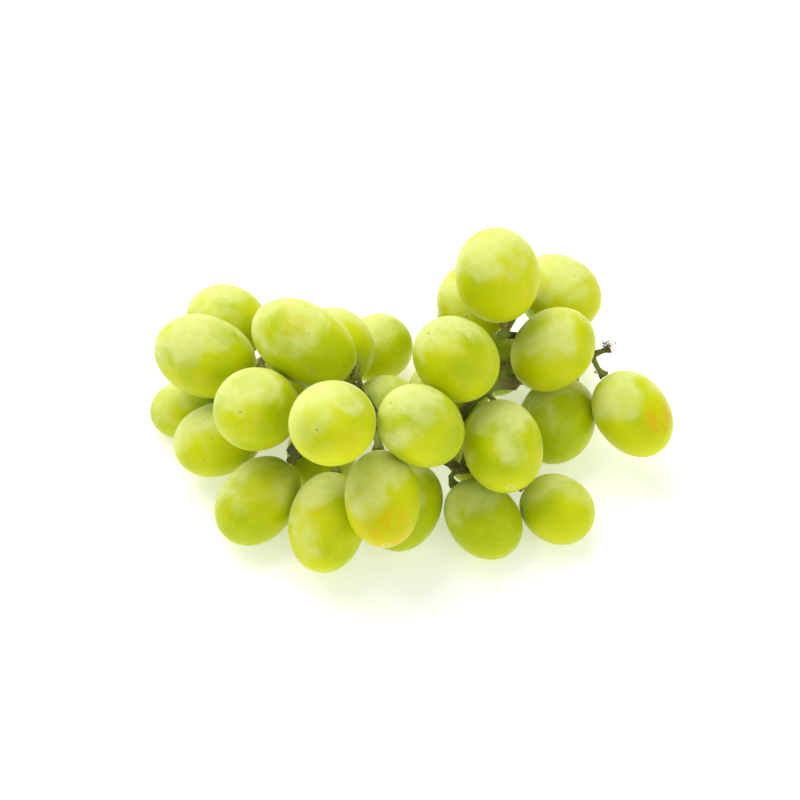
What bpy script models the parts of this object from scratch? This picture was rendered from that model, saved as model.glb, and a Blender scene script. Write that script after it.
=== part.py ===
"""A bunch of large green seedless table grapes, lying on a flat surface.

The bunch is one body: thirty-four berries on one branched stalk. Each berry is an oval of
revolution whose stem end looks back at the stalk, and a thin pedicel with a flared
receptacle reaches it there. The rachis (main stem) starts at its cut end, runs through the
hollow core of the left lobe, crosses to the right lobe and splits into side stems.

Metres, +Z up. X runs along the bunch and Y across it, the surface is z = 0, and the origin
is under the middle of the bunch's box.
"""
import math

import bmesh
import bpy
import numpy as np
from mathutils import Vector

# ---------------------------------------------------------------- driving sizes
BERRY_WIDTH = 0.0216        # a typical berry, across
BERRY_LENGTH = 0.0270       # the same berry, from stem end to blossom end
BUNCH_LENGTH = 0.1270       # between the outermost berry centres, along X
BUNCH_DEPTH = 0.0870        # between the front and back berry centres, along Y
BUNCH_RISE = 0.0440         # from a resting berry's centre to the topmost one, along Z
RACHIS_WIDTH = 0.0040       # main stem
SIDE_STEM_WIDTH = 0.0025    # its side stems
PEDICEL_WIDTH = 0.0017      # the little stalk of one berry
RECEPTACLE_WIDTH = 0.0036   # the pedicel's flared end, where the berry sits
CUT_END_WIDTH = 0.0055      # the swollen end where the bunch was cut off
TWIG_TIP_WIDTH = 0.0030     # knob of a twig that has lost its berry

# ---------------------------------------------------------------- fits and clearances
SEAT_GAP = 0.0003           # between a receptacle and its berry
BERRY_GAP = 0.0004          # least gap between two berries
STEM_GAP = 0.0004           # least gap between a stem and a berry it passes
REST_FLAT = 0.0004          # how far a resting berry is flattened by the surface
LIFT_GAP = 0.0006           # least height over the surface of a berry that hangs free
NODE_SWELL = 1.2            # a stem at its nodes, against its width between them
PEDICEL_SWELL = 1.1         # a pedicel before it flares, against its width
PEDICEL_LEAD = 0.45         # part of a pedicel's reach over which it bends into the berry's axis

# ---------------------------------------------------------------- mesh detail
BERRY_SEGMENTS = 16
BERRY_RINGS = 10
SETTLE_STEPS = 1500
SETTLE_TOLERANCE = 0.00004
SETTLE_RATE = 0.8           # part of each push that a berry follows in one step
STEM_PUSH = 0.35            # part of a berry's overlap with one point of a stem that pushes it
GAP_TURNS = 10              # turns taken to line up the direction of a gap, and how far each goes
GAP_TURN_RATE = 0.6

# Each berry: its place in percent of the bunch's length, depth and rise (a rise of 0 rests
# on the surface), its width and length against the typical berry, the heading and pitch in
# degrees of its stem end, and the stem node that its pedicel grows from.
BERRIES = {
    # left lobe, far side and outer end
    "berry_01": ((10.4, 76.3, 29), 0.95, 0.87, (-28, -8), "left_far"),
    "berry_02": ((7.3, 52.8, 45), 1.03, 1.06, (-10, -20), "left_back"),
    "berry_03": ((28.2, 46.5, 71), 0.98, 1.13, (-25, -20), "mid_top"),
    "berry_04": ((35.3, 62.8, 25), 0.98, 0.90, (-60, 15), "mid_back"),
    "berry_05": ((43.7, 79, 0), 0.90, 0.78, (-150, 5), "mid_low"),
    "berry_06": ((1, 53.2, 0), 0.74, 0.74, (-5, 30), "left_back"),
    "berry_07": ((9.2, 37.1, 7), 0.93, 0.95, (10, 20), "left_side"),
    "berry_08": ((19.9, 28, 58), 1.03, 1.05, (70, -45), "left_side"),
    # left lobe, near side and core
    "berry_09": ((36.8, 7.6, 91), 1.01, 1.05, (70, -42), "mid_high"),
    "berry_10": ((45.9, 51.8, 0), 0.89, 0.86, (-140, 50), "mid_back"),
    "berry_11": ((51.8, 12.1, 75), 0.95, 0.95, (5, -52), "bridge"),
    "berry_12": ((20.9, 11.2, 4), 0.95, 0.98, (45, 24), "cut_joint"),
    "berry_13": ((32.6, 3.2, 11), 0.95, 1.02, (80, 20), "mid_front"),
    "berry_14": ((44.8, -0.4, 40), 0.91, 0.98, (95, 15), "mid_right"),
    "berry_15": ((50.1, 12.6, 0), 0.91, 0.95, (66, 12), "bridge"),
    "berry_29": ((32, 33.2, 0), 0.88, 0.85, (60, 65), "mid_left"),
    "berry_30": ((21, 61, 0), 0.88, 0.85, (-80, 50), "left_back"),
    "berry_33": ((24, 86, 0), 0.88, 0.86, (-103, 41), "left_far"),
    # right lobe, near side
    "berry_16": ((70.5, 19, 38), 0.98, 0.97, (98, 7), "right_core"),
    "berry_17": ((60.8, 34.5, 87), 0.99, 0.95, (2, -55), "right_core"),
    "berry_18": ((59.3, 45.2, 28), 0.92, 0.88, (-30, 30), "right_core"),
    "berry_24": ((83.7, 45.9, 2), 0.99, 0.93, (65, 27), "far_side"),
    "berry_25": ((99.8, 40.9, 20), 0.93, 0.95, (129, 22), "twig_fork"),
    "berry_26": ((82.4, 12.1, 0), 0.85, 0.78, (148, 12), "low_side"),
    "berry_27": ((67.8, 10.5, 0), 0.88, 0.89, (128, 10), "low_joint"),
    "berry_28": ((66.1, 33.4, 0), 0.82, 0.80, (-115, 45), "low_joint"),
    # right lobe, far side
    "berry_19": ((80.6, 53.3, 51), 0.97, 0.95, (195, -50), "under_side"),
    "berry_20": ((69.9, 63.3, 100), 1.05, 0.96, (-75, -60), "right_top"),
    "berry_21": ((66.5, 74.7, 53), 0.97, 0.87, (76, -24), "back_joint"),
    "berry_22": ((84.7, 82.6, 44), 0.92, 0.90, (150, 18), "back_joint"),
    "berry_23": ((71.8, 70.6, 3), 0.89, 0.86, (-75, 42), "under_side"),
    "berry_34": ((84, 77, 0), 0.86, 0.84, (-108, 32), "under_mid"),
    "berry_31": ((65, 92, 0), 0.82, 0.80, (5, 60), "back_low"),
    "berry_32": ((85, 100, 0), 0.88, 0.86, (-135, 52), "back_low"),
}

# Places of the stem's nodes, in percent of the bunch's length, depth and rise.
NODES = {
    "cut_end": (27, 17, 40),
    "cut_joint": (29, 28, 34),
    "mid_left": (33, 33, 38),
    "mid_right": (45, 30, 40),
    "mid_core": (53, 25, 34),
    "bridge": (59, 20, 26),
    "low_joint": (62, 17, 23),
    "rise_joint": (60, 27, 34),
    "right_core": (67, 38, 49),
    "right_fork": (74, 43, 44),
    # side stems of the left lobe
    "left_side": (21, 40, 28),
    "left_back": (18.5, 57, 30),
    "left_far": (22, 70, 23),
    "mid_front": (36, 22, 32),
    "mid_high": (38, 29, 58),
    "mid_top": (40, 42, 42),
    "mid_back": (38, 48, 30),
    "mid_low": (37.5, 52, 3),
    # side stems of the right lobe
    "low_mid": (69, 22, 10),
    "low_side": (73, 21, 8),
    "right_back": (72, 52, 31),
    "right_behind": (76, 67, 33),
    "right_top": (72, 56, 62),
    "top_joint": (74, 63, 65),
    "knob": (71, 53, 67),
    "back_joint": (75, 84, 53),
    "back_low": (74, 91, 36),
    "under_side": (72.5, 55, 20),
    "under_mid": (81, 61, 18),
    "far_side": (88, 63, 27),
    "twig_fork": (91, 58, 38),
    "twig_tip": (95, 59, 42),
}

# Each stem: the nodes it runs through and its width at the start and at the end.
STEMS = {
    "rachis": (("cut_end", "cut_joint", "mid_left", "mid_right", "mid_core", "bridge", "low_joint"),
               RACHIS_WIDTH, RACHIS_WIDTH * 0.75),
    "right_rachis": (("bridge", "rise_joint", "right_core", "right_fork"),
                     RACHIS_WIDTH * 0.75, RACHIS_WIDTH * 0.75),
    "left_stem": (("cut_joint", "left_side", "left_back", "left_far"),
                  SIDE_STEM_WIDTH, SIDE_STEM_WIDTH * 0.7),
    "front_stem": (("mid_left", "mid_front"), SIDE_STEM_WIDTH, SIDE_STEM_WIDTH * 0.8),
    "high_stem": (("mid_left", "mid_high"), SIDE_STEM_WIDTH, SIDE_STEM_WIDTH * 0.8),
    "back_stem": (("mid_right", "mid_top", "mid_back", "mid_low"), SIDE_STEM_WIDTH, SIDE_STEM_WIDTH * 0.8),
    "low_stem": (("low_joint", "low_mid", "low_side"), SIDE_STEM_WIDTH * 0.8, SIDE_STEM_WIDTH * 0.7),
    "top_stem": (("right_fork", "right_back", "right_behind", "right_top", "top_joint", "back_joint",
                  "back_low"),
                 SIDE_STEM_WIDTH, SIDE_STEM_WIDTH * 0.7),
    "under_stem": (("right_back", "under_side", "under_mid", "far_side", "twig_fork", "twig_tip"),
                   SIDE_STEM_WIDTH, SIDE_STEM_WIDTH * 0.7),
    "knob_stem": (("right_top", "knob"), PEDICEL_WIDTH, PEDICEL_WIDTH),
}

# Stem ends that no berry hides: how wide each one swells.
KNOBS = {
    "cut_end": CUT_END_WIDTH,
    "knob": RECEPTACLE_WIDTH,
    "twig_tip": TWIG_TIP_WIDTH,
}


def at(percent):
    """The point at these percentages of the bunch's length, depth and rise."""
    along, across, up = percent
    return np.array([BUNCH_LENGTH * (along - 50) / 100,
                     BUNCH_DEPTH * (across - 50) / 100,
                     BERRY_WIDTH / 2 + BUNCH_RISE * up / 100])


def facing(heading, pitch):
    """Unit vector for a heading and a pitch in degrees."""
    h, p = math.radians(heading), math.radians(pitch)
    return np.array([math.cos(h) * math.cos(p), math.sin(h) * math.cos(p), math.sin(p)])


def smooth_run(points, steps):
    """Points along a smooth curve through the given ones (Catmull-Rom), steps to a span."""
    ends = [2 * points[0] - points[1]] + list(points) + [2 * points[-1] - points[-2]]
    run = [points[0]]
    for a, b, c, d in zip(ends, ends[1:], ends[2:], ends[3:]):
        for i in range(1, steps + 1):
            t = i / steps
            run.append(0.5 * (2 * b + (c - a) * t + (2 * a - 5 * b + 4 * c - d) * t * t
                              + (3 * b - a - 3 * c + d) * t ** 3))
    return np.array(run)


# ---------------------------------------------------------------- the bunch as numbers
class Bunch:
    """Berry centres, axes and shapes as arrays, and the stems between them."""

    def __init__(self):
        self.names = list(BERRIES)
        rows = [BERRIES[name] for name in self.names]
        self.centre = np.array([at(row[0]) for row in rows])
        self.rests = np.array([row[0][2] == 0 for row in rows])
        self.half_width = np.array([BERRY_WIDTH * row[1] / 2 for row in rows])
        self.half_length = np.array([BERRY_LENGTH * row[2] / 2 for row in rows])
        self.axis = np.array([facing(*row[3]) for row in rows])
        self.node = [row[4] for row in rows]
        lift = self.half_length ** 2 - self.half_width ** 2
        self.shape = (np.eye(3) * self.half_width[:, None, None] ** 2
                      + np.einsum("ni,nj->nij", self.axis, self.axis) * lift[:, None, None])
        self.inverse = np.linalg.inv(self.shape)
        self.sole = np.sqrt(self.shape[:, 2, 2])
        self.reach = np.maximum(self.half_length, self.half_width)
        self.stems = {name: self.stem_run(nodes) for name, (nodes, _, _) in STEMS.items()}

    def stem_run(self, nodes):
        return smooth_run([at(NODES[node]) for node in nodes], 4)

    def pedicel(self, i):
        """The pedicel of berry i: a curve that leaves its node and meets the stem end square."""
        start = at(NODES[self.node[i]])
        seat = self.centre[i] + self.axis[i] * (self.half_length[i] + SEAT_GAP)
        reach = np.linalg.norm(seat - start)
        lead = seat + self.axis[i] * PEDICEL_LEAD * reach
        t = np.linspace(0, 1, 7)[:, None]
        return (1 - t) ** 2 * start + 2 * t * (1 - t) * lead + t ** 2 * seat

    def stem_points(self):
        """Every stem and pedicel as points, their radii, and the berry each one belongs to."""
        points, radii, owner = [], [], []
        for name, run in self.stems.items():
            _, first, last = STEMS[name]
            points.append(run)
            radii.append(np.linspace(first, last, len(run)) * NODE_SWELL / 2)
            owner.append(np.full(len(run), -1))
        for i in range(len(self.names)):
            run = self.pedicel(i)
            points.append(run[1:])
            radii.append(np.full(len(run) - 1, PEDICEL_WIDTH * NODE_SWELL / 2))
            radii[-1][-2:] = RECEPTACLE_WIDTH / 2
            owner.append(np.full(len(run) - 1, i))
        return np.concatenate(points), np.concatenate(radii), np.concatenate(owner)

    def berry_gaps(self, first, second):
        """Gap between pairs of ovals, and the direction from the first to the second."""
        ca, cb = self.centre[first], self.centre[second]
        sa, sb = self.shape[first], self.shape[second]
        span = np.linalg.norm(cb - ca, axis=1)
        n = (cb - ca) / span[:, None]
        best = np.full(len(first), -1.0)
        best_n = n
        for _ in range(GAP_TURNS):
            sn_a = np.einsum("kij,kj->ki", sa, n)
            sn_b = np.einsum("kij,kj->ki", sb, n)
            reach_a = np.sqrt(np.einsum("ki,ki->k", n, sn_a))
            reach_b = np.sqrt(np.einsum("ki,ki->k", n, sn_b))
            gap = np.einsum("ki,ki->k", n, cb - ca) - reach_a - reach_b
            wider = gap > best
            best = np.where(wider, gap, best)
            best_n = np.where(wider[:, None], n, best_n)
            between = (cb - sn_b / reach_b[:, None]) - (ca + sn_a / reach_a[:, None])
            sideways = between - np.einsum("ki,ki->k", n, between)[:, None] * n
            n = n + GAP_TURN_RATE * sideways / span[:, None]
            n = n / np.linalg.norm(n, axis=1)[:, None]
        return best, best_n

    def settle(self):
        """Ease the berries apart until each clears its neighbours, the stems and the surface."""
        first, second = np.triu_indices(len(self.names), 1)
        for _ in range(SETTLE_STEPS):
            push = np.zeros_like(self.centre)
            reach = self.reach[first] + self.reach[second] + BERRY_GAP
            near = np.linalg.norm(self.centre[first] - self.centre[second], axis=1) < reach
            a, b = first[near], second[near]
            gap, n = self.berry_gaps(a, b)
            short = np.maximum(BERRY_GAP - gap, 0)
            np.add.at(push, a, -n * short[:, None] * 0.5)
            np.add.at(push, b, n * short[:, None] * 0.5)
            worst = short.max(initial=0)
            points, radii, owner = self.stem_points()
            off = self.centre[None] - points[:, None]
            pull = np.einsum("nij,knj->kni", self.inverse, off)
            level = np.sqrt(np.einsum("kni,kni->kn", off, pull))
            slope = pull / level[..., None]
            steep = np.linalg.norm(slope, axis=-1)
            clear = (level - 1) / steep
            short = np.maximum(radii[:, None] + STEM_GAP - clear, 0)
            short[owner >= 0, owner[owner >= 0]] = 0
            push += np.einsum("kn,kni->ni", short, slope / steep[..., None]) * STEM_PUSH
            worst = max(worst, short.max())
            self.centre += push * SETTLE_RATE
            floor = np.where(self.rests, self.sole - REST_FLAT, self.sole + LIFT_GAP)
            self.centre[:, 2] = np.where(self.rests, floor, np.maximum(self.centre[:, 2], floor))
            if worst < SETTLE_TOLERANCE:
                break


# ---------------------------------------------------------------- Blender helpers
def clear_scene():
    for obj in list(bpy.data.objects):
        bpy.data.objects.remove(obj, do_unlink=True)


def new_collection(name):
    collection = bpy.data.collections.new(name)
    bpy.context.scene.collection.children.link(collection)
    return collection


def new_material(name, colour, roughness):
    material = bpy.data.materials.new(name)
    material.use_nodes = True
    shader = material.node_tree.nodes["Principled BSDF"]
    shader.inputs["Base Color"].default_value = (*colour, 1)
    shader.inputs["Roughness"].default_value = roughness
    shader.inputs["Metallic"].default_value = 0
    return material


def new_object(name, mesh, collection, material, location=(0, 0, 0)):
    obj = bpy.data.objects.new(name, mesh)
    obj.location = location
    if material:
        mesh.materials.clear()
        mesh.materials.append(material)
    collection.objects.link(obj)
    return obj


# ---------------------------------------------------------------- the pieces
def make_berry(bunch, i, collection, material):
    """One berry: an oval of revolution along its axis, cut flat where it rests."""
    bm = bmesh.new()
    bmesh.ops.create_uvsphere(bm, u_segments=BERRY_SEGMENTS, v_segments=BERRY_RINGS, radius=1)
    half_width, half_length = bunch.half_width[i], bunch.half_length[i]
    bmesh.ops.scale(bm, vec=(half_width, half_width, half_length), verts=bm.verts)
    turn = Vector(bunch.axis[i]).to_track_quat("Z", "Y").to_matrix()
    bmesh.ops.rotate(bm, matrix=turn, verts=bm.verts)
    if bunch.rests[i]:
        cut = bmesh.ops.bisect_plane(
            bm, geom=bm.verts[:] + bm.edges[:] + bm.faces[:],
            plane_co=(0, 0, -bunch.centre[i][2]), plane_no=(0, 0, -1), clear_outer=True)
        rim = [item for item in cut["geom_cut"] if isinstance(item, bmesh.types.BMEdge)]
        bmesh.ops.edgeloop_fill(bm, edges=rim)
    bmesh.ops.recalc_face_normals(bm, faces=bm.faces)
    mesh = bpy.data.meshes.new(bunch.names[i])
    bm.to_mesh(mesh)
    bm.free()
    mesh.shade_smooth()
    return new_object(bunch.names[i], mesh, collection, material, bunch.centre[i])


def make_tube(name, points, widths, collection):
    """A round stem through the points, as wide as given at each one, as a closed mesh."""
    curve = bpy.data.curves.new(name, "CURVE")
    curve.dimensions = "3D"
    curve.bevel_depth = 0.5
    curve.bevel_resolution = 1
    curve.use_fill_caps = True
    spline = curve.splines.new("POLY")
    spline.points.add(len(points) - 1)
    for point, place, width in zip(spline.points, points, widths):
        point.co = (*place, 1)
        point.radius = width
    guide = bpy.data.objects.new(name, curve)
    collection.objects.link(guide)
    depsgraph = bpy.context.evaluated_depsgraph_get()
    mesh = bpy.data.meshes.new_from_object(guide.evaluated_get(depsgraph))
    bpy.data.objects.remove(guide)
    bm = bmesh.new()
    bm.from_mesh(mesh)
    bmesh.ops.remove_doubles(bm, verts=bm.verts, dist=1e-6)
    bmesh.ops.recalc_face_normals(bm, faces=bm.faces)
    bm.to_mesh(mesh)
    bm.free()
    return new_object(name, mesh, collection, None)


def stem_widths(name, count):
    """Widths along a stem, swollen at its nodes and at an end that carries no berry."""
    nodes, first, last = STEMS[name]
    widths = np.linspace(first, last, count)
    step = (count - 1) // (len(nodes) - 1)
    for k, node in enumerate(nodes):
        widths[k * step] *= NODE_SWELL
        if node in KNOBS:
            widths[k * step] = KNOBS[node]
    return widths


def pedicel_widths(count):
    widths = np.full(count, PEDICEL_WIDTH)
    widths[-3] = PEDICEL_WIDTH * PEDICEL_SWELL
    widths[-2] = (PEDICEL_WIDTH + RECEPTACLE_WIDTH) / 2
    widths[-1] = RECEPTACLE_WIDTH
    return widths


def make_stalk(bunch, collection, branches, material):
    """The rachis, with every side stem and pedicel grown into it."""
    for name, run in bunch.stems.items():
        if name != "rachis":
            make_tube(name, run, stem_widths(name, len(run)), branches)
    for i, name in enumerate(bunch.names):
        run = bunch.pedicel(i)
        make_tube(name.replace("berry", "pedicel"), run, pedicel_widths(len(run)), branches)
    for branch in branches.objects:
        branch.hide_render = True
        branch.display_type = "WIRE"
    run = bunch.stems["rachis"]
    stalk = make_tube("stalk", run, stem_widths("rachis", len(run)), collection)
    stalk.data.materials.append(material)
    grow = stalk.modifiers.new("grow together", "BOOLEAN")
    grow.operation = "UNION"
    grow.solver = "EXACT"
    grow.operand_type = "COLLECTION"
    grow.collection = branches
    return stalk


def centre_on_origin(objects, collection):
    """Hang everything on an empty that puts the origin under the middle of the box."""
    corners = []
    depsgraph = bpy.context.evaluated_depsgraph_get()
    for obj in objects:
        seen = obj.evaluated_get(depsgraph)
        corners += [seen.matrix_world @ vertex.co for vertex in seen.data.vertices]
    low = [min(corner[k] for corner in corners) for k in range(2)]
    high = [max(corner[k] for corner in corners) for k in range(2)]
    root = bpy.data.objects.new("bunch", None)
    root.location = (-(low[0] + high[0]) / 2, -(low[1] + high[1]) / 2, 0)
    collection.objects.link(root)
    return root


def main():
    clear_scene()
    collection = new_collection("grape_bunch")
    branches = new_collection("stalk_branches")
    skin = new_material("grape_skin", (0.55, 0.66, 0.06), 0.35)
    bark = new_material("grape_stalk", (0.20, 0.26, 0.07), 0.75)
    bunch = Bunch()
    bunch.settle()
    pieces = [make_berry(bunch, i, collection, skin) for i in range(len(bunch.names))]
    pieces.append(make_stalk(bunch, collection, branches, bark))
    root = centre_on_origin(pieces, collection)
    for obj in pieces + list(branches.objects):
        obj.parent = root


main()
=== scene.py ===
"""A loose bunch of large green seedless grapes lying on a white ground: skins, stalk, light and camera."""

import math

import bpy
import bmesh
import numpy as np
from mathutils import Matrix, Vector, noise


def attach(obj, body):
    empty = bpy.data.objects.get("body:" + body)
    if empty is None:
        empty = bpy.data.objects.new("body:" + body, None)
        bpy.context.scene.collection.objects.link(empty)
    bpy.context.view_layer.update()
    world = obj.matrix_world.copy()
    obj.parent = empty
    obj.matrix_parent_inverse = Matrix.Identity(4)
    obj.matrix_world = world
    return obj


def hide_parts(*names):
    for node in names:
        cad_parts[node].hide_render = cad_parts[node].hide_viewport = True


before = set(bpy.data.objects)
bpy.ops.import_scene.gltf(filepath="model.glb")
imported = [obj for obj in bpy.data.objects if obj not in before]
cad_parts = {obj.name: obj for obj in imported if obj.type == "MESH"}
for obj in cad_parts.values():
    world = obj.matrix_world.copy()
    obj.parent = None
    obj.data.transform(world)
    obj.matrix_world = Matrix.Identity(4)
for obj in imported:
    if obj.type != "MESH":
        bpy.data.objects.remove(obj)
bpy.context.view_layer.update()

MM = 0.001

# ---------------------------------------------------------------- the berries' shape
BERRY_RINGS = 72
BERRY_SEGMENTS = 96
POLE_CROWDING = 0.6           # rings lie closer together towards both ends of a berry
BERRY_SWELL = 0.15 * MM       # berries fill the hair of room that the frame leaves between them
EGG = 0.035                   # most that a berry is fuller towards one end
BLUNT = 0.02                  # most that its shoulders are fuller
WAVE_HEIGHT = 0.10 * MM
WAVE_SCALE = 95.0             # per metre
DIMPLE_DEPTH = 0.55 * MM      # at the stem end
DIMPLE_WIDTH = 2.2 * MM
SCAR_DEPTH = 0.22 * MM        # at the blossom end
SCAR_WIDTH = 0.95 * MM
SCAR_NUB_HEIGHT = 0.16 * MM
SCAR_NUB_WIDTH = 0.28 * MM
GROUND_LEVEL = 0.0
RESTING = 0.1 * MM            # a berry whose lowest point is under this height rests on the ground
ABOVE_FLAT = 0.2 * MM         # its points above this height are clear of its flat

# ---------------------------------------------------------------- the stalk's shape
WELD = 0.002 * MM             # stem vertices nearer than this are one
STALK_VOXEL = 0.34 * MM
STALK_RELAX = 4               # turns of smoothing after the remesh, and how far each one goes
RELAX_FACTOR = 0.5
LUMP_SCALE = 420              # per metre, as are the three below
GRIT_SCALE = 1500
WART_SCALE = 1150
CORK_SCALE = 130
STALK_LUMPS = 0.28 * MM
STALK_GRIT = 0.10 * MM
WART_HEIGHT = 0.42 * MM
WART_REACH = 2.9 * MM         # warts end this far from where a berry sits
WART_FULL = 1.4 * MM          # and are at their fullest this near
GREEN_REACH = 9 * MM          # wood is greener from here on towards a berry
GREEN_FULL = 4 * MM
STALK_CLEARANCE = 0.2 * MM    # least height over the ground

# ---------------------------------------------------------------- the dry scraps' shape
TWIG_SIDE = Vector((0.79, 0.22, 0.56))    # the bare twig's tip is the stalk's last point this way
FUZZ_STRANDS = 34
FUZZ_POINTS = 6
FUZZ_LENGTHS = (0.5 * MM, 1.4 * MM)
FUZZ_WIDTHS = (0.42 * MM, 0.06 * MM)      # at the root and at the tip, as is the next
HOOK_WIDTHS = (0.55 * MM, 0.22 * MM)
HOOK_POINTS = 18

# ---------------------------------------------------------------- the berries' looks
# Painted highlight: the side of each berry towards the key lamp, up and to the back left, gets more of the
# pale bloom.
PAINTED_HIGHLIGHT_SIDE = np.array([-0.40, 0.42, 0.81])

# Sun-struck amber patches: berry -> (direction in the frame's axes, cosine at its edge, strength), ...
AMBER = {
    "berry_25": (((0.62, -0.55, 0.56), 0.86, 1.0),),
    "berry_14": (((0.10, -1.00, 0.02), 0.66, 0.85),),
    "berry_13": (((-0.35, -0.10, 0.95), 0.90, 0.75),),
    "berry_03": (((-0.15, -0.35, 1.00), 0.92, 0.6), ((-0.45, 0.25, 0.95), 0.96, 0.4)),
    "berry_02": (((0.00, 0.05, 1.00), 0.95, 0.6), ((0.05, -1.00, 0.3), 0.95, 0.4)),
    "berry_09": (((0.40, -1.00, 0.45), 0.95, 0.5),),
    "berry_20": (((0.70, -0.70, 0.0), 0.90, 0.35),),
    "berry_22": (((-0.75, -0.50, 0.45), 0.85, 0.4),),
    "berry_12": (((0.60, -0.20, 0.80), 0.90, 0.3),),
}
AMBER_FADE = 0.6              # part of a patch over which it comes up to full strength
# How yellow (+1) or deep green (-1) a berry is where it isn't left to chance.
TONE = {
    "berry_20": 0.9, "berry_22": 0.7, "berry_25": 0.6, "berry_05": 0.5, "berry_09": 0.5,
    "berry_21": 0.5, "berry_19": 0.45, "berry_16": 0.1, "berry_26": 0.1, "berry_17": 0.0,
    "berry_04": -0.1, "berry_11": -0.2, "berry_12": -0.3, "berry_27": -0.5, "berry_24": -0.7,
    "berry_15": -0.8,
}
CHANCE_TONE = (-0.3, 0.4)

FLESH_GREEN = (0.47, 0.575, 0.0003)
FLESH_YELLOW = (0.67, 0.715, 0.0004)
VEIN_PALE = (0.80, 0.84, 0.04)
SUN_AMBER = (0.70, 0.60, 0.0006)
SUN_EMBER = (0.82, 0.45, 0.002)
# pale of the waxy bloom, also laid on as a painted highlight towards the key lamp
BLOOM_AND_HIGHLIGHT_PALE = (0.80, 0.86, 0.36)
SPECK_BROWN = (0.30, 0.22, 0.04)
SCAR_HALO = (0.78, 0.82, 0.26)
SCAR_BROWN = (0.22, 0.15, 0.03)
COLLAR_PALE = (0.62, 0.72, 0.16)

# ---------------------------------------------------------------- the stalk's and the ground's looks
WOOD_DARK = (0.022, 0.040, 0.005)
WOOD_GREEN = (0.085, 0.120, 0.013)
WOOD_FRESH = (0.30, 0.40, 0.05)
WOOD_FLECK = (0.25, 0.26, 0.07)
CORK_BROWN = (0.155, 0.080, 0.020)
WART_YELLOW = (0.50, 0.42, 0.14)
GROUND_TINTS = ((0.93, 0.93, 0.93), (0.95, 0.95, 0.95))
GROUND_GLOW = 0.36
GROUND_HALF = 3.0

# ---------------------------------------------------------------- light and camera
SKY_STRENGTH = 0.54
LIT_POINT = (0, 0, 0.03)
# Each lamp: its place, its size and its power in watts.
LAMPS = {
    "key": ((-0.30, 0.42, 0.95), (1.0, 0.8), 8.2),
    "back": ((-0.45, 1.10, 0.45), (1.4, 0.7), 2.0),
    "fill": ((0.6, -0.7, 0.5), (0.8, 0.8), 1.5),
}
CAMERA_TARGET = (-0.0022, -0.0056, 0.025)
CAMERA_DISTANCE = 0.611
CAMERA_ELEVATION = math.radians(50)
LENS_MM = 100
SENSOR_MM = 36


# ---------------------------------------------------------------- reading the frame
def mesh_points(mesh):
    points = np.empty(len(mesh.vertices) * 3)
    mesh.vertices.foreach_get("co", points)
    return points.reshape(-1, 3)


def fit_oval(points):
    """Centre, axis, half length and half width of the oval of revolution through the points."""
    middle = points.mean(axis=0)
    size = np.abs(points - middle).max()
    x, y, z = ((points - middle) / size).T
    terms = np.stack([x * x, y * y, z * z, 2 * x * y, 2 * x * z, 2 * y * z, 2 * x, 2 * y, 2 * z], axis=1)
    a, b, c, d, e, f, *lean = np.linalg.lstsq(terms, np.ones(len(points)), rcond=None)[0]
    form = np.array([[a, d, e], [d, b, f], [e, f, c]])
    centre = -np.linalg.solve(form, lean)
    weights, axes = np.linalg.eigh(form / (1 + centre @ form @ centre))
    halves = size / np.sqrt(weights)
    odd = 0 if abs(weights[0] - weights[1]) > abs(weights[1] - weights[2]) else 2
    return middle + centre * size, axes[:, odd], halves[odd], halves[1]


def read_berries():
    """Every berry of the frame: where it is, and which way its stem end points."""
    stalk_points = mesh_points(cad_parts["stalk"].data)
    berries = {}
    for name in sorted(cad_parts):
        if not name.startswith("berry_"):
            continue
        points = mesh_points(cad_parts[name].data)
        if points[:, 2].min() < RESTING:
            points = points[points[:, 2] > ABOVE_FLAT]
        centre, axis, half_length, half_width = fit_oval(points)
        ends = [np.linalg.norm(stalk_points - centre - axis * side * half_length, axis=1).min()
                for side in (1, -1)]
        if ends[1] < ends[0]:
            axis = -axis
        berries[name] = (centre, axis, half_length, half_width)
    return berries


def smooth_step(low, high, value):
    t = np.clip((value - low) / (high - low), 0, 1)
    return t * t * (3 - 2 * t)


def noise_at(points, scale, offset=(0, 0, 0)):
    """Smooth noise from -1 to 1 at each point."""
    offset = Vector(offset)
    return np.array([noise.noise(Vector(p) * scale + offset) for p in points])


def add_object(name, mesh):
    obj = bpy.data.objects.new(name, mesh)
    bpy.context.scene.collection.objects.link(obj)
    return obj


# ---------------------------------------------------------------- the berries
def berry_grid():
    """Directions on a ball in rings from the stem end to the blossom end, and the faces between them."""
    t = np.linspace(0, 1, BERRY_RINGS + 1)[1:-1]
    polar = math.pi * (t - POLE_CROWDING * np.sin(2 * math.pi * t) / (2 * math.pi))
    turn = np.arange(BERRY_SEGMENTS) * 2 * math.pi / BERRY_SEGMENTS
    ring = np.stack(np.broadcast_arrays(np.sin(polar)[:, None] * np.cos(turn),
                                        np.sin(polar)[:, None] * np.sin(turn),
                                        np.cos(polar)[:, None]), axis=-1).reshape(-1, 3)
    directions = np.concatenate([[[0, 0, 1]], ring, [[0, 0, -1]]])
    last = len(directions) - 1
    faces = []
    for k in range(BERRY_SEGMENTS):
        n = (k + 1) % BERRY_SEGMENTS
        faces.append((0, 1 + k, 1 + n))
        for r in range(BERRY_RINGS - 2):
            a = 1 + r * BERRY_SEGMENTS
            b = a + BERRY_SEGMENTS
            faces.append((a + k, b + k, b + n, a + n))
        a = 1 + (BERRY_RINGS - 2) * BERRY_SEGMENTS
        faces.append((a + k, last, a + n))
    return directions, faces


GRID, GRID_FACES = berry_grid()


def mound(across, width):
    """A round hill, 1 high in the middle, over the distance from a berry's axis."""
    return np.exp(-(across / width) ** 2)


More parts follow.
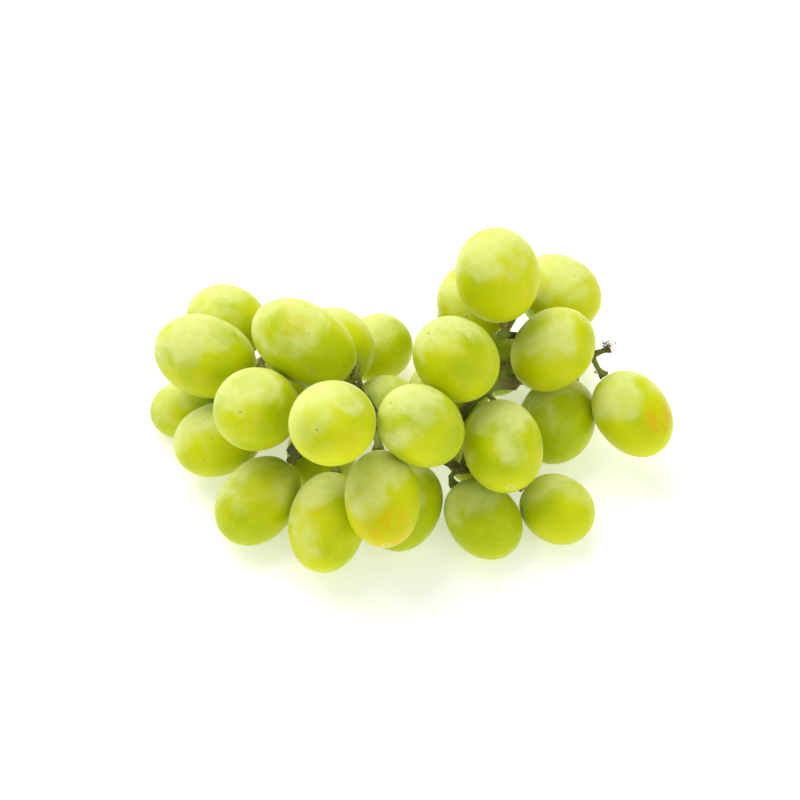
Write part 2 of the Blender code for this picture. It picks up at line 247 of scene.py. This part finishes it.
def make_berry(name, place, material, number):
    """One grape in its own axes, stem end up: dimpled at the stem, scarred at the blossom end."""
    centre, axis, half_length, half_width = place
    rng = np.random.default_rng(1000 + number)
    egg = rng.uniform(-EGG, EGG)
    blunt = rng.uniform(0.0, BLUNT)
    wave_offset = rng.uniform(-50, 50, 3)
    z = GRID[:, 2]
    points = GRID * (np.array([half_width, half_width, half_length]) + BERRY_SWELL)
    girth = 1 + egg * z * (1 - z * z) + blunt * (4 * z * z * (1 - z * z) - 0.4)
    points[:, :2] *= girth[:, None]
    points += GRID * (noise_at(points, WAVE_SCALE, wave_offset) * WAVE_HEIGHT)[:, None]
    across = np.hypot(points[:, 0], points[:, 1])
    dimple = -DIMPLE_DEPTH * mound(across, DIMPLE_WIDTH)
    scar = SCAR_DEPTH * mound(across, SCAR_WIDTH) - SCAR_NUB_HEIGHT * mound(across, SCAR_NUB_WIDTH)
    points[:, 2] += np.where(z > 0, dimple, scar)
    turn = Vector(axis).to_track_quat("Z", "Y").to_matrix()
    spin = Matrix.Rotation(rng.uniform(0, 2 * math.pi), 3, "Z")
    world = points @ np.array(turn @ spin).T + centre
    world[:, 2] = np.maximum(world[:, 2], GROUND_LEVEL)
    mesh = bpy.data.meshes.new("skin_" + name[-2:])
    mesh.from_pydata([tuple(p) for p in world], [], GRID_FACES)
    mesh.shade_smooth()
    own = mesh.attributes.new("own", "FLOAT_VECTOR", "POINT")
    own.data.foreach_set("vector", points.ravel())
    outward = world - centre
    outward /= np.linalg.norm(outward, axis=1)[:, None]
    amber = np.zeros(len(points))
    for direction, edge, strength in AMBER.get(name, ()):
        direction = np.array(direction) / np.linalg.norm(direction)
        full = edge + AMBER_FADE * (1 - edge)
        amber = np.maximum(amber, strength * smooth_step(edge, full, outward @ direction))
    # painted highlight: the skin's bloom is weighted towards the side that faces the key lamp
    bloom_and_highlight = 0.5 + 0.5 * outward @ PAINTED_HIGHLIGHT_SIDE
    tone = TONE.get(name, rng.uniform(*CHANCE_TONE))
    seed = rng.uniform(0, 1)
    skin = mesh.color_attributes.new("skin", "FLOAT_COLOR", "POINT")
    even = np.ones(len(points))
    values = np.stack([amber, bloom_and_highlight, even * (0.5 + 0.5 * tone), even * seed], axis=1)
    skin.data.foreach_set("color", values.ravel())
    mesh.materials.append(material)
    berry = add_object(mesh.name, mesh)
    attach(berry, "root")
    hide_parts(name)


# ---------------------------------------------------------------- materials
class Nodes:
    """Short ways to lay out a material's nodes."""

    def __init__(self, name):
        self.material = bpy.data.materials.new(name)
        self.material.use_nodes = True
        self.tree = self.material.node_tree
        self.shader = self.tree.nodes["Principled BSDF"]

    def put(self, socket, value):
        if isinstance(value, bpy.types.NodeSocket):
            self.tree.links.new(value, socket)
        else:
            socket.default_value = value

    def add(self, kind, settings=None, **inputs):
        node = self.tree.nodes.new(kind)
        for key, value in (settings or {}).items():
            setattr(node, key, value)
        for key, value in inputs.items():
            self.put(node.inputs[key.replace("_", " ")], value)
        return node

    def attribute(self, name):
        return self.add("ShaderNodeAttribute", {"attribute_name": name}).outputs

    def channels(self, colour):
        return self.add("ShaderNodeSeparateColor", Color=colour).outputs

    def math(self, operation, first, second=0.0, clamp=False):
        node = self.add("ShaderNodeMath", {"operation": operation, "use_clamp": clamp})
        for socket, value in zip(node.inputs, (first, second)):
            self.put(socket, value)
        return node.outputs[0]

    def plus(self, first, second):
        return self.math("ADD", first, second)

    def times(self, first, second):
        return self.math("MULTIPLY", first, second)

    def vector(self, operation, first, second):
        node = self.add("ShaderNodeVectorMath", {"operation": operation})
        self.put(node.inputs[0], first)
        self.put(node.inputs[1], second)
        return node.outputs[0]

    def ramp(self, value, low, high, out_low=0.0, out_high=1.0):
        """A smooth rise from out_low to out_high while the value goes from low to high."""
        node = self.add("ShaderNodeMapRange", {"interpolation_type": "SMOOTHSTEP"})
        for key, number in (("Value", value), ("From Min", low), ("From Max", high),
                            ("To Min", out_low), ("To Max", out_high)):
            self.put(node.inputs[key], number)
        return node.outputs["Result"]

    def mix(self, factor, first, second):
        node = self.add("ShaderNodeMix", {"data_type": "RGBA"})
        for socket, value in ((node.inputs[0], factor), (node.inputs[6], first), (node.inputs[7], second)):
            self.put(socket, (*value, 1) if isinstance(value, tuple) else value)
        return node.outputs[2]

    def noise(self, vector, scale, detail=2.0, roughness=0.5, distortion=0.0):
        return self.add("ShaderNodeTexNoise", Vector=vector, Scale=scale, Detail=detail,
                        Roughness=roughness, Distortion=distortion).outputs["Fac"]

    def bump(self, height, distance, strength, normal=None):
        node = self.add("ShaderNodeBump", Height=height, Distance=distance, Strength=strength)
        if normal:
            self.put(node.inputs["Normal"], normal)
        return node.outputs[0]

    def finish(self, **inputs):
        for key, value in inputs.items():
            self.put(self.shader.inputs[key.replace("_", " ")], value)
        return self.material


def skin_material():
    """Grape skin over lit flesh: drifting green, veins, amber, bloom with a painted highlight on the side
    towards the key lamp, specks and the two ends.
    """
    n = Nodes("grape_skin_look")
    place = n.attribute("own")["Vector"]
    mask = n.attribute("skin")
    amber_mask, painted_highlight_weight, tone = n.channels(mask["Color"])[:3]
    seed = mask["Alpha"]
    # each berry takes its pattern from another part of the noise
    offset = n.add("ShaderNodeCombineXYZ", X=n.times(seed, 1.7), Y=n.times(seed, 5.3), Z=n.times(seed, 9.1))
    spot = n.vector("ADD", place, offset.outputs[0])
    axes = n.add("ShaderNodeSeparateXYZ", Vector=place).outputs
    across = n.math("SQRT", n.plus(n.times(axes[0], axes[0]), n.times(axes[1], axes[1])))

    # flesh seen through the skin: a slow drift of green and yellow, and faint veins from end to end
    drift = n.plus(n.noise(spot, 85.0, 1.0), n.times(n.math("SUBTRACT", tone, 0.5), 0.55))
    colour = n.mix(n.ramp(drift, 0.25, 0.75), FLESH_GREEN, FLESH_YELLOW)
    streaks = n.vector("MULTIPLY", spot, (1.0, 1.0, 0.22))
    veins = n.ramp(n.noise(streaks, 520.0, 3.0, 0.55, 0.4), 0.50, 0.68)
    colour = n.mix(n.times(veins, 0.18), colour, VEIN_PALE)

    # amber where the sun struck, with embers in its strongest streaks
    patch = n.times(amber_mask, n.ramp(n.noise(streaks, 420.0, 3.0, 0.6), 0.32, 0.60, 0.40, 1.0))
    colour = n.mix(n.math("MULTIPLY", patch, 0.85, clamp=True), colour, SUN_AMBER)
    ember = n.ramp(n.plus(patch, n.times(n.noise(spot, 700.0, 2.0), 0.3)), 0.82, 1.15)
    colour = n.mix(n.times(ember, 0.5), colour, SUN_EMBER)

    # waxy bloom, rubbed off in blotches, and a painted highlight: the bloom is paler and fuller on the side
    # towards the key lamp
    cloud = n.plus(n.noise(spot, 95.0, 2.6, 0.52, 0.4), n.times(painted_highlight_weight, 0.66))
    rub = n.ramp(n.noise(spot, 380.0, 3.0, 0.6), 0.34, 0.60, 0.74, 1.0)
    bloom_and_highlight = n.times(n.ramp(cloud, 0.86, 1.16), rub)
    colour = n.mix(n.times(bloom_and_highlight, 0.68), colour, BLOOM_AND_HIGHLIGHT_PALE)

    # small brown specks, a few to a berry
    cells = n.add("ShaderNodeTexVoronoi", Vector=spot, Scale=300.0).outputs
    lucky = n.ramp(n.channels(cells["Color"])[0], 0.72, 0.74)
    speck = n.times(n.ramp(cells["Distance"], 0.04, 0.085, 1.0, 0.0), lucky)
    colour = n.mix(n.times(speck, 0.6), colour, SPECK_BROWN)

    # the scar at the blossom end and the paler collar round the stem
    ragged = n.plus(across, n.times(n.noise(spot, 1500.0, 2.0), 0.7 * MM))
    blossom = n.math("LESS_THAN", axes[2], 0.0)
    scar = n.times(n.ramp(ragged, 0.5 * MM, 0.85 * MM, 1.0, 0.0), blossom)
    halo = n.times(n.ramp(ragged, 1.1 * MM, 2.6 * MM, 0.5, 0.0), blossom)
    colour = n.mix(n.times(halo, 0.6), colour, SCAR_HALO)
    colour = n.mix(n.times(scar, 0.6), colour, SCAR_BROWN)
    collar = n.times(n.ramp(ragged, 2.2 * MM, 5.5 * MM, 0.55, 0.0), n.math("SUBTRACT", 1.0, blossom))
    colour = n.mix(collar, colour, COLLAR_PALE)

    dents = n.math("SUBTRACT", n.noise(spot, 330.0, 2.0), n.times(speck, 0.6))
    normal = n.bump(n.noise(spot, 2600.0, 2.0), 0.03 * MM, 0.5, n.bump(dents, 0.22 * MM, 0.6))
    return n.finish(Base_Color=colour, Roughness=n.plus(0.36, n.times(bloom_and_highlight, 0.16)), IOR=1.45,
                    Specular_IOR_Level=0.18, Subsurface_Weight=0.75, Subsurface_Radius=(1.0, 1.0, 0.30),
                    Subsurface_Scale=4 * MM, Sheen_Weight=0.12, Sheen_Roughness=0.28, Normal=normal)


def stalk_material():
    """Dark green wood, fresher towards each berry, corky in places and warty where a berry sits."""
    n = Nodes("grape_stalk_look")
    place = n.add("ShaderNodeTexCoord").outputs["Object"]
    cork, fresh, warty = n.channels(n.attribute("bark")["Color"])[:3]
    grain = n.noise(place, 900.0, 4.0, 0.6)
    colour = n.mix(n.ramp(grain, 0.35, 0.68), WOOD_DARK, WOOD_GREEN)
    colour = n.mix(n.times(fresh, 0.9), colour, WOOD_FRESH)
    flecks = n.ramp(n.noise(place, 2600.0, 2.0), 0.56, 0.66)
    colour = n.mix(n.times(flecks, 0.7), colour, WOOD_FLECK)
    brown = n.times(cork, n.ramp(n.noise(place, 1300.0, 3.0, 0.6), 0.32, 0.60, 0.35, 1.0))
    colour = n.mix(brown, colour, CORK_BROWN)
    warts = n.times(warty, n.ramp(n.noise(place, 3100.0, 2.0), 0.52, 0.62))
    colour = n.mix(warts, colour, WART_YELLOW)
    normal = n.bump(n.noise(place, 2200.0, 4.0, 0.65), 0.18 * MM, 0.8)
    return n.finish(Base_Color=colour, Roughness=n.ramp(grain, 0.3, 0.7, 0.55, 0.8), IOR=1.45,
                    Subsurface_Weight=0.08, Subsurface_Scale=MM, Normal=normal)


def ground_material():
    n = Nodes("white_ground")
    place = n.add("ShaderNodeTexCoord").outputs["Object"]
    colour = n.mix(n.ramp(n.noise(place, 3.0, 2.0), 0.3, 0.7), *GROUND_TINTS)
    return n.finish(Base_Color=colour, Roughness=0.9, IOR=1.3, Emission_Color=(1, 1, 1, 1),
                    Emission_Strength=GROUND_GLOW)


# ---------------------------------------------------------------- the stalk
def paint_bark(mesh, cork, fresh, warty):
    """How corky, fresh and warty the wood is at each point, for the stalk's material."""
    count = len(mesh.vertices)
    bark = mesh.color_attributes.new("bark", "FLOAT_COLOR", "POINT")
    values = np.stack([np.broadcast_to(part, count) for part in (cork, fresh, warty, 1.0)], axis=1)
    bark.data.foreach_set("color", values.ravel())


def make_stalk(berries, material):
    """The stalk grown from the frame's own stems: lumpy wood, warty where each berry sits."""
    bm = bmesh.new()
    bm.from_mesh(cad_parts["stalk"].data)
    bmesh.ops.remove_doubles(bm, verts=bm.verts, dist=WELD)
    mesh = bpy.data.meshes.new("stalk_wood")
    bm.to_mesh(mesh)
    bm.free()
    stalk = add_object("stalk_wood", mesh)
    remesh = stalk.modifiers.new("remesh", "REMESH")
    remesh.mode = "VOXEL"
    remesh.voxel_size = STALK_VOXEL
    relax = stalk.modifiers.new("relax", "SMOOTH")
    relax.factor = RELAX_FACTOR
    relax.iterations = STALK_RELAX
    depsgraph = bpy.context.evaluated_depsgraph_get()
    grown = bpy.data.meshes.new_from_object(stalk.evaluated_get(depsgraph))
    stalk.modifiers.clear()
    stalk.data = grown
    grown.name = "stalk_wood"
    points = mesh_points(grown)
    normals = np.empty(len(points) * 3)
    grown.vertices.foreach_get("normal", normals)
    normals = normals.reshape(-1, 3)
    seats = np.array([centre + axis * half_length for centre, axis, half_length, _ in berries.values()])
    near = np.linalg.norm(points[:, None] - seats[None], axis=2).min(axis=1)
    warty = smooth_step(WART_REACH, WART_FULL, near)
    push = STALK_LUMPS * noise_at(points, LUMP_SCALE) + STALK_GRIT * noise_at(points, GRIT_SCALE)
    push += warty * WART_HEIGHT * np.maximum(noise_at(points, WART_SCALE, (7, 3, 1)) + 0.1, 0)
    points = points + normals * push[:, None]
    points[:, 2] = np.maximum(points[:, 2], STALK_CLEARANCE)
    grown.vertices.foreach_set("co", points.ravel())
    grown.shade_smooth()
    cork = np.clip(0.25 + 0.9 * noise_at(points, CORK_SCALE, (3, 9, 5)) + 0.35 * warty, 0, 1)
    paint_bark(grown, cork, 0.8 * smooth_step(GREEN_REACH, GREEN_FULL, near), warty)
    grown.materials.clear()
    grown.materials.append(material)
    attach(stalk, "root")
    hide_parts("stalk")


# ---------------------------------------------------------------- dry scraps on the stalk
def make_strand(points, widths, flat, sides):
    """A thin tapering strand through the points, flat as a ribbon where flat is small."""
    verts, faces = [], []
    up = Vector((0.2, 0.1, 1.0))
    for i, point in enumerate(points):
        ahead = points[min(i + 1, len(points) - 1)] - points[max(i - 1, 0)]
        side = ahead.cross(up).normalized()
        lift = side.cross(ahead).normalized()
        for k in range(sides):
            turn = 2 * math.pi * k / sides
            reach = side * math.cos(turn) + lift * math.sin(turn) * flat
            verts.append(point + reach * widths[i] / 2)
        if i:
            for k in range(sides):
                n = (k + 1) % sides
                a, b = (i - 1) * sides, i * sides
                faces.append((a + k, a + n, b + n, b + k))
    faces.append(tuple(range(sides))[::-1])
    faces.append(tuple(len(verts) - sides + k for k in range(sides)))
    return verts, faces


def join_strands(name, strands, cork, material):
    """Several strands as one piece of dry bark."""
    verts, faces = [], []
    for more_verts, more_faces in strands:
        start = len(verts)
        verts += [tuple(v) for v in more_verts]
        faces += [tuple(start + k for k in face) for face in more_faces]
    mesh = bpy.data.meshes.new(name)
    mesh.from_pydata(verts, [], faces)
    mesh.shade_smooth()
    paint_bark(mesh, cork, 0.0, 1.0)
    mesh.materials.append(material)
    scrap = add_object(name, mesh)
    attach(scrap, "root")


def curl_points(start, out, turns, radius, sideways):
    """A little hook that leaves start along out and curls over."""
    out = out.normalized()
    side = out.cross(Vector((0, 0, 1))).normalized()
    up = side.cross(out)
    points = []
    for t in np.linspace(0, 1, HOOK_POINTS):
        turn = 2 * math.pi * turns * t
        shrink = 1 - 0.45 * t
        points.append(start + out * radius * (math.sin(turn) * shrink + 0.3 * t)
                      + up * radius * (1 - math.cos(turn)) * shrink + side * sideways * t)
    return points


def make_scraps(berries, material):
    """Torn fuzz on the bare twig, and a curl of dried skin beside the outermost berry."""
    rng = np.random.default_rng(77)
    points = mesh_points(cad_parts["stalk"].data)
    tip = Vector(points[(points @ np.array(TWIG_SIDE)).argmax()])
    strands = []
    for _ in range(FUZZ_STRANDS):
        lean = TWIG_SIDE * 0.6 + Vector(rng.normal(0, 0.7, 3))
        root = tip - TWIG_SIDE * 0.5 * MM + Vector(rng.normal(0, 0.65, 3)) * MM
        length = rng.uniform(*FUZZ_LENGTHS)
        bend = Vector(rng.normal(0, 0.35, 3))
        run = [root + (lean.normalized() + bend * t) * length * t for t in np.linspace(0, 1, FUZZ_POINTS)]
        strands.append(make_strand(run, np.linspace(*FUZZ_WIDTHS, FUZZ_POINTS), flat=0.6, sides=6))
    join_strands("twig_fuzz", strands, 0.75, material)
    centre, axis, half_length, _ = berries["berry_25"]
    seat = Vector(centre + axis * (half_length + 1.6 * MM))
    hook = curl_points(seat + Vector((-1.2, -0.2, 0.2)) * MM, Vector((-1.0, -0.25, 0.25)),
                       turns=0.62, radius=1.15 * MM, sideways=-0.9 * MM)
    widths = np.linspace(*HOOK_WIDTHS, HOOK_POINTS)
    join_strands("dry_curl_right", [make_strand(hook, widths, flat=0.5, sides=8)], 0.9, material)


# ---------------------------------------------------------------- stage
def make_ground():
    corners = [(x * GROUND_HALF, y * GROUND_HALF, 0) for x, y in ((-1, -1), (1, -1), (1, 1), (-1, 1))]
    mesh = bpy.data.meshes.new("ground")
    mesh.from_pydata(corners, [], [(0, 1, 2, 3)])
    mesh.materials.append(ground_material())
    add_object("ground", mesh)


def make_light():
    world = bpy.data.worlds.new("studio")
    world.use_nodes = True
    background = world.node_tree.nodes["Background"]
    background.inputs["Color"].default_value = (1, 1, 1, 1)
    background.inputs["Strength"].default_value = SKY_STRENGTH
    bpy.context.scene.world = world
    for name, (place, size, power) in LAMPS.items():
        lamp = bpy.data.lights.new(name, "AREA")
        lamp.shape = "RECTANGLE"
        lamp.size, lamp.size_y = size
        lamp.energy = power
        holder = add_object(name, lamp)
        holder.location = place
        holder.rotation_euler = (Vector(LIT_POINT) - Vector(place)).to_track_quat("-Z", "Y").to_euler()


def set_camera():
    lens = bpy.data.cameras.new("camera")
    lens.lens = LENS_MM
    lens.sensor_width = SENSOR_MM
    lens.clip_start = 0.01
    camera = add_object("camera", lens)
    target = Vector(CAMERA_TARGET)
    back = Vector((0, -math.cos(CAMERA_ELEVATION), math.sin(CAMERA_ELEVATION)))
    camera.location = target + CAMERA_DISTANCE * back
    camera.rotation_euler = (target - camera.location).to_track_quat("-Z", "Y").to_euler()
    bpy.context.scene.camera = camera


berries = read_berries()
skin = skin_material()
for number, (name, place) in enumerate(berries.items(), start=1):
    make_berry(name, place, skin, number)
bark = stalk_material()
make_stalk(berries, bark)
make_scraps(berries, bark)
make_ground()
make_light()
set_camera()
bpy.context.scene.view_settings.view_transform = "Standard"
